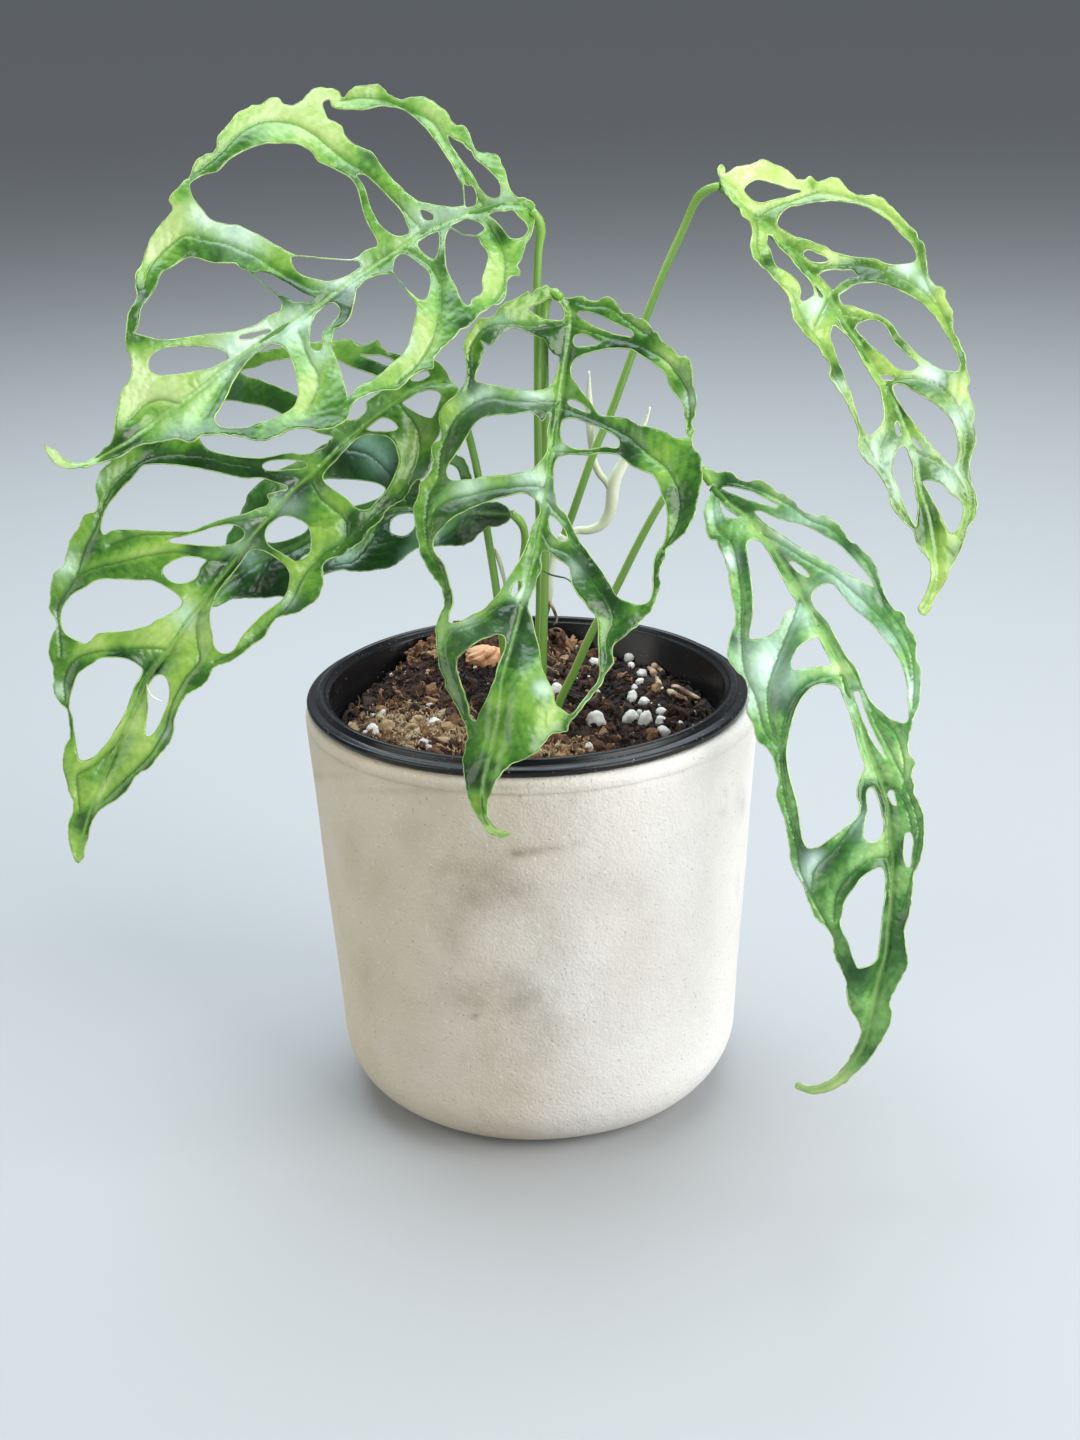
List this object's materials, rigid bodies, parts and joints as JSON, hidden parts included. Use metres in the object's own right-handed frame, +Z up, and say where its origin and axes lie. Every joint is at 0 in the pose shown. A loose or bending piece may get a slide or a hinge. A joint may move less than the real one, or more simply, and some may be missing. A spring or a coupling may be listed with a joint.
{
  "type": "potted monstera obliqua",
  "caption": "Small climbing aroid with lace-like, heavily perforated leaves on slim stalks, standing in soil in a nursery pot inside a round clay cover pot.",
  "frame": {"origin": "centre of the clay pot's flat base", "axes": "+Z up, +X to the right as the picture sees the plant, +Y away from the viewer"},
  "size_m": [0.2856, 0.173, 0.3315],
  "materials": {
    "clay": "matte unglazed cream clay",
    "black_plastic": "smooth, a little dusty",
    "soil": "loose brown peat and fibre with white perlite grains",
    "bark": "rough reddish bark",
    "leaf_green": "satin, quilted green leaf",
    "leaf_dark": "satin, deep green leaf",
    "shoot_cream": "smooth cream-coloured young shoot"
  },
  "bodies": {
    "root": {"clay_cover_pot": "clay", "black_nursery_pot": "black_plastic", "soil": "soil", "bark_chip": "bark", "leaf_upper_left": "leaf_green", "leaf_lower_left": "leaf_green", "leaf_back": "leaf_dark", "leaf_front": "leaf_green", "leaf_upper_right": "leaf_green", "leaf_lower_right": "leaf_green", "young_shoots": "shoot_cream"}
  },
  "joints": []
}
